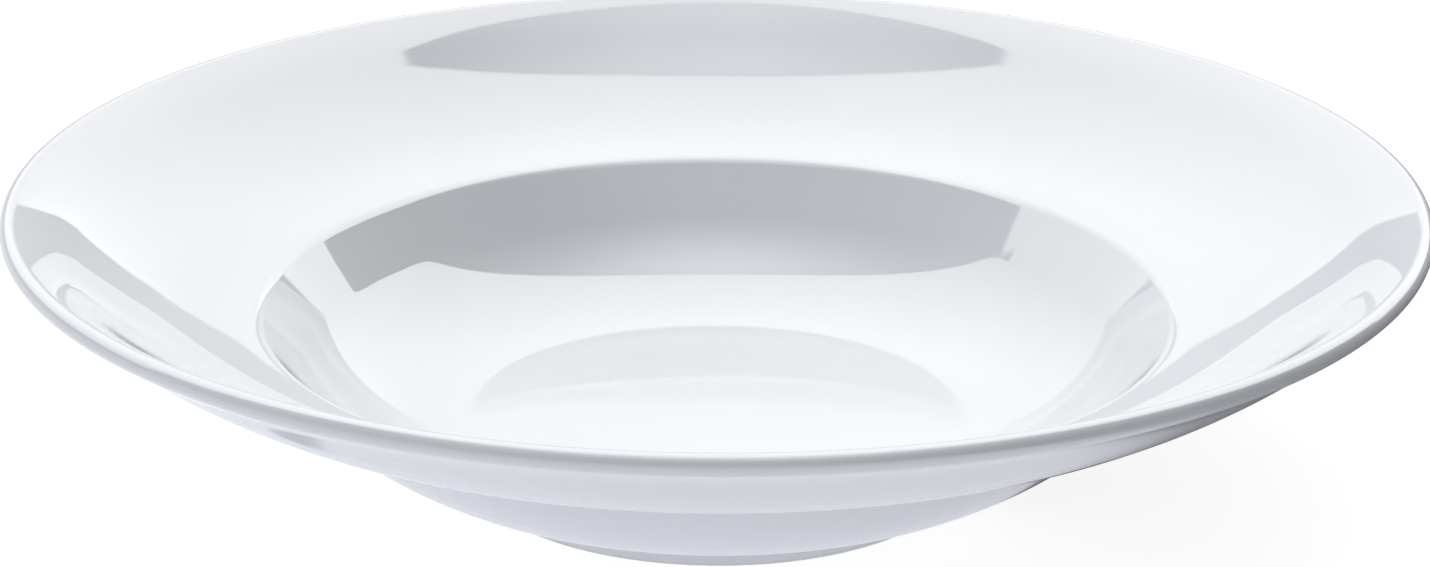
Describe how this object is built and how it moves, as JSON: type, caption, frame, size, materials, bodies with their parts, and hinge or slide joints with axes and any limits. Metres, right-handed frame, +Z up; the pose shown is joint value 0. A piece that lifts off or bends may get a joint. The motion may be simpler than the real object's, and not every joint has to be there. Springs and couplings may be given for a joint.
{
  "type": "pasta bowl",
  "caption": "Round pasta bowl with a deep well, a wide rim that rises to a rounded lip, and a low foot ring, in white glazed porcelain.",
  "frame": {"origin": "middle of the foot ring's standing face", "axes": "+Z up along the axis of the bowl, the bowl open towards +Z"},
  "size_m": [0.27, 0.27, 0.0574],
  "materials": {
    "fired_porcelain": "fired bare, fine and matt",
    "white_glaze": "high gloss, cool white"
  },
  "bodies": {
    "root": {"porcelain_body": "fired_porcelain", "bowl_glaze": "white_glaze", "base_glaze": "white_glaze"}
  },
  "joints": []
}
